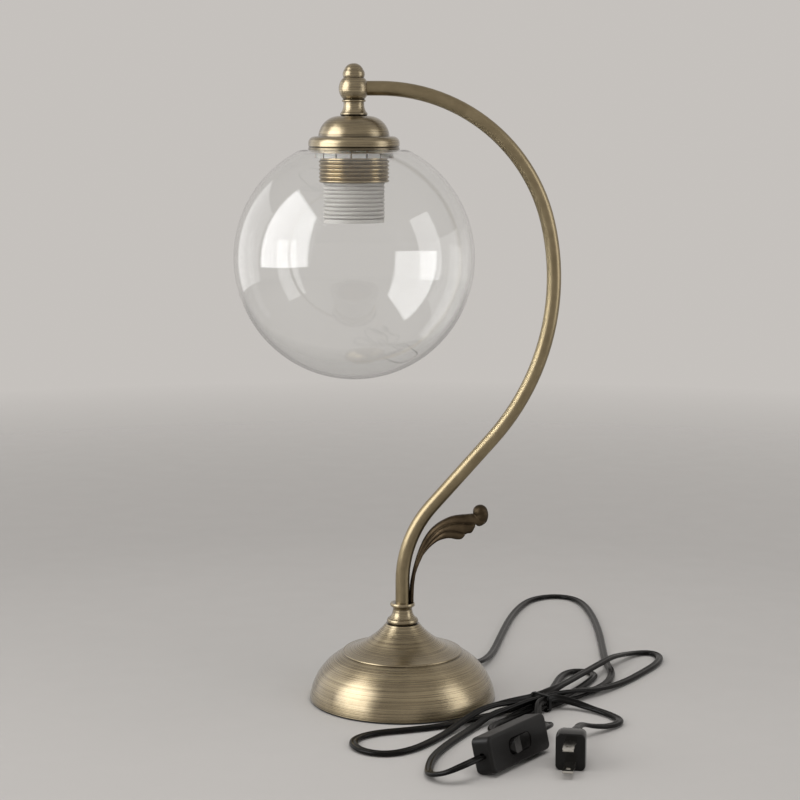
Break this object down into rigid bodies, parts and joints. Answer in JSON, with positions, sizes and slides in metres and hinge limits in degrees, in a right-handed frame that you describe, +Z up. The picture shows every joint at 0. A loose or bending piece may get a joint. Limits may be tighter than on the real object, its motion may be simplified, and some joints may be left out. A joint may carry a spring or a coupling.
{
  "type": "table lamp",
  "caption": "Table lamp: round weighted base, swept arm with a leaf ornament, downward screw socket under a cap, clear globe, and a flat cord with inline rocker switch and plug.",
  "frame": {"origin": "centre of the base's underside, on the surface that the lamp stands on", "axes": "+Z up, +X towards the side that the arm bows out to (away from the globe), -Y towards the plug and the inline switch"},
  "size_m": [0.2832, 0.4334, 0.4019],
  "materials": {
    "antique_brass": "brushed, aged",
    "leaf_bronze": "dark satin bronze",
    "iron": "rough cast",
    "foot_pad": "matte foam",
    "steel": "zinc plated",
    "bushing_black": "satin",
    "holder_white": "satin",
    "ring_white": "slightly translucent",
    "ceramic": "glazed",
    "contact_brass": "bright",
    "clamp_gold": "satin gold",
    "clear_glass": "clear",
    "cord_black": "semi-gloss",
    "tie_black": "matte",
    "switch_black": "fine-textured",
    "rocker_black": "satin",
    "plug_black": "moulded",
    "blade_nickel": "nickel plated"
  },
  "bodies": {
    "lamp": {"base_shell": "antique_brass", "neck_collar": "antique_brass", "arm_tube": "antique_brass", "head_body": "antique_brass", "finial": "antique_brass", "shade_cap": "antique_brass", "leaf": "leaf_bronze", "base_weight": "iron", "base_pad": "foot_pad", "cord_bushing": "bushing_black", "base_pipe": "steel", "base_washer": "steel", "base_nut": "steel", "head_pipe": "steel", "holder_top": "holder_white", "holder_skirt": "holder_white", "holder_core": "ceramic", "screw_shell": "contact_brass", "centre_contact": "contact_brass", "terminal_screws": "contact_brass", "slotted_collar": "ring_white", "clamp_ring": "clamp_gold", "globe": "clear_glass", "inner_lead": "cord_black", "cord_tail": "cord_black", "cord_hank": "cord_black", "cord_to_switch": "cord_black", "cord_to_plug": "cord_black", "hank_tie": "tie_black", "switch_base": "switch_black", "switch_cover": "switch_black", "switch_terminals": "contact_brass", "switch_screws": "steel", "plug_body": "plug_black", "plug_blades": "blade_nickel"},
    "rocker": {"switch_rocker": "rocker_black", "switch_bridge": "contact_brass"}
  },
  "joints": [
    {"name": "rocker", "type": "hinge", "parent": "lamp", "child": "rocker", "pos_m": [0.06556, -0.13272, 0.01245], "axis": [0.1957, -0.1422, -0.9703], "range_deg": [0, 18]}
  ]
}
